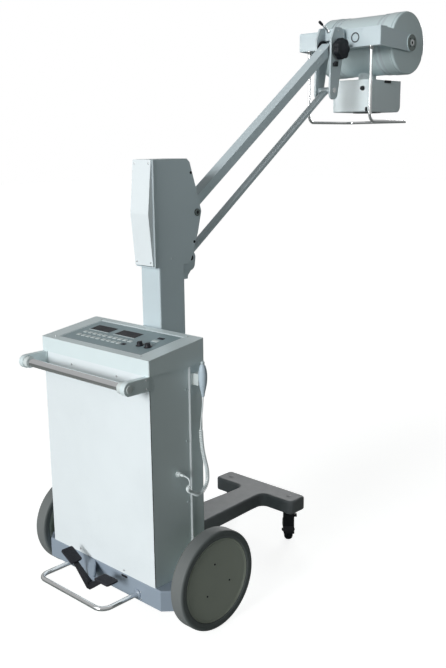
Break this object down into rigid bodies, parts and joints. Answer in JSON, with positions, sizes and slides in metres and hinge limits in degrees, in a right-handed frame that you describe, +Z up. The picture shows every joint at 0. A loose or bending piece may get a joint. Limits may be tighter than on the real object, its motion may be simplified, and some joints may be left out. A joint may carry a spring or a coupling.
{
  "type": "mobile x-ray unit",
  "caption": "Mobile X-ray unit: wheeled cabinet with push bar, forward T leg on casters, fixed mast, parallelogram arm, and a tube head that rolls and tilts.",
  "frame": {"origin": "on the floor, under the middle of the machine's outline", "axes": "+X to the operator's right, +Y forward from the push bar to the tube head, +Z up"},
  "size_m": [0.737, 1.728, 1.9677],
  "materials": {
    "white_paint": "smooth satin off-white powder paint",
    "panel_paint": "smooth satin white powder paint",
    "grey_paint": "smooth satin pale grey paint",
    "pan_paint": "blue-grey satin paint",
    "leg_paint": "charcoal textured paint on a casting",
    "console_sheet": "matt blue-grey control panel",
    "chrome": "polished chrome plate",
    "zinc": "bright zinc-plated steel",
    "black_plastic": "matt black moulded plastic",
    "pale_plastic": "satin pale moulded plastic",
    "black_paint": "satin black paint",
    "pad_rubber": "ribbed black rubber",
    "tyre_rubber": "smooth dark grey rubber tyre",
    "hub_paint": "satin warm grey paint",
    "tube_paint": "satin grey-green paint on an aluminium housing",
    "cap_paint": "satin dark grey paint",
    "cord_sheath": "pale grey cord sheath",
    "core_block": "plain transformer core"
  },
  "bodies": {
    "root": {"chassis_pan": "pan_paint", "axle_left": "pan_paint", "axle_right": "pan_paint", "cabinet_shell": "white_paint", "rear_panel": "panel_paint", "front_cover": "white_paint", "side_strips": "zinc", "console_box": "white_paint", "console_panel": "console_sheet", "transformer": "core_block", "bar_brackets": "white_paint", "bar_collars": "pale_plastic", "push_bar": "chrome", "rear_loop": "chrome", "brake_bracket": "pan_paint", "brake_rocker": "black_paint", "brake_pads": "pad_rubber", "front_leg": "leg_paint", "mast_column": "white_paint", "mast_head": "white_paint", "mast_cover": "panel_paint", "link_lug": "white_paint", "mast_pins": "black_plastic", "switch_holder": "pale_plastic", "hand_switch": "pale_plastic", "cord_lead": "cord_sheath", "cord_curl": "cord_sheath", "cord_tail": "cord_sheath", "cord_gland": "pale_plastic"},
    "wheel_left": {"wheel_left_hub": "hub_paint", "wheel_left_tyre": "tyre_rubber"},
    "wheel_right": {"wheel_right_hub": "hub_paint", "wheel_right_tyre": "tyre_rubber"},
    "caster_left": {"caster_left_fork": "black_paint"},
    "caster_right": {"caster_right_fork": "black_paint"},
    "caster_left_roller": {"caster_left_wheel": "black_plastic"},
    "caster_right_roller": {"caster_right_wheel": "black_plastic"},
    "arm": {"upper_arm": "white_paint"},
    "link": {"lower_link": "grey_paint"},
    "yoke": {"yoke_plates": "grey_paint", "friction_discs": "black_plastic", "yoke_block": "white_paint", "yoke_pins": "zinc", "yoke_knob": "black_plastic", "clamp_lever": "chrome"},
    "fork": {"fork": "white_paint", "pivot_rings": "cap_paint", "head_handle": "chrome"},
    "tube_head": {"tube_barrel": "tube_paint", "tube_caps": "cap_paint", "port_neck": "tube_paint", "collimator": "tube_paint", "collimator_knobs": "black_plastic"}
  },
  "joints": [
    {"name": "wheel_left_spin", "type": "hinge", "parent": "root", "child": "wheel_left", "pos_m": [-0.3435, -0.5555, 0.16], "axis": [1, 0, 0], "continuous": true},
    {"name": "wheel_right_spin", "type": "hinge", "parent": "root", "child": "wheel_right", "pos_m": [0.3435, -0.5555, 0.16], "axis": [1, 0, 0], "continuous": true},
    {"name": "caster_left_swivel", "type": "hinge", "parent": "root", "child": "caster_left", "pos_m": [-0.146, 0.063, 0.12], "axis": [0, 0, 1], "continuous": true},
    {"name": "caster_left_spin", "type": "hinge", "parent": "caster_left", "child": "caster_left_roller", "pos_m": [-0.15964, 0.07763, 0.0375], "axis": [-0.7314, -0.682, 0], "continuous": true},
    {"name": "caster_right_swivel", "type": "hinge", "parent": "root", "child": "caster_right", "pos_m": [0.146, 0.063, 0.12], "axis": [0, 0, 1], "continuous": true},
    {"name": "caster_right_spin", "type": "hinge", "parent": "caster_right", "child": "caster_right_roller", "pos_m": [0.13236, 0.07763, 0.0375], "axis": [-0.7314, -0.682, 0], "continuous": true},
    {"name": "arm_lift", "type": "hinge", "parent": "root", "child": "arm", "pos_m": [0, -0.2965, 1.2605], "axis": [1, 0, 0], "range_deg": [-71, 10]},
    {"name": "link_swing", "type": "hinge", "parent": "root", "child": "link", "pos_m": [0, -0.3135, 1.111], "axis": [1, 0, 0], "range_deg": [-71.5, 10.5]},
    {"name": "yoke_level", "type": "hinge", "parent": "arm", "child": "yoke", "pos_m": [0, 0.4711, 1.82024], "axis": [1, 0, 0], "range_deg": [-10.5, 71.5]},
    {"name": "head_roll", "type": "hinge", "parent": "yoke", "child": "fork", "pos_m": [0, 0.5335, 1.87024], "axis": [0, 1, 0], "range_deg": [-90, 90]},
    {"name": "tube_tilt", "type": "hinge", "parent": "fork", "child": "tube_head", "pos_m": [0, 0.7465, 1.85024], "axis": [1, 0, 0], "range_deg": [-20, 90]}
  ],
  "couplings": [
    {"joint": "link_swing", "follows": "arm_lift", "ratio": 1},
    {"joint": "yoke_level", "follows": "arm_lift", "ratio": -1}
  ]
}
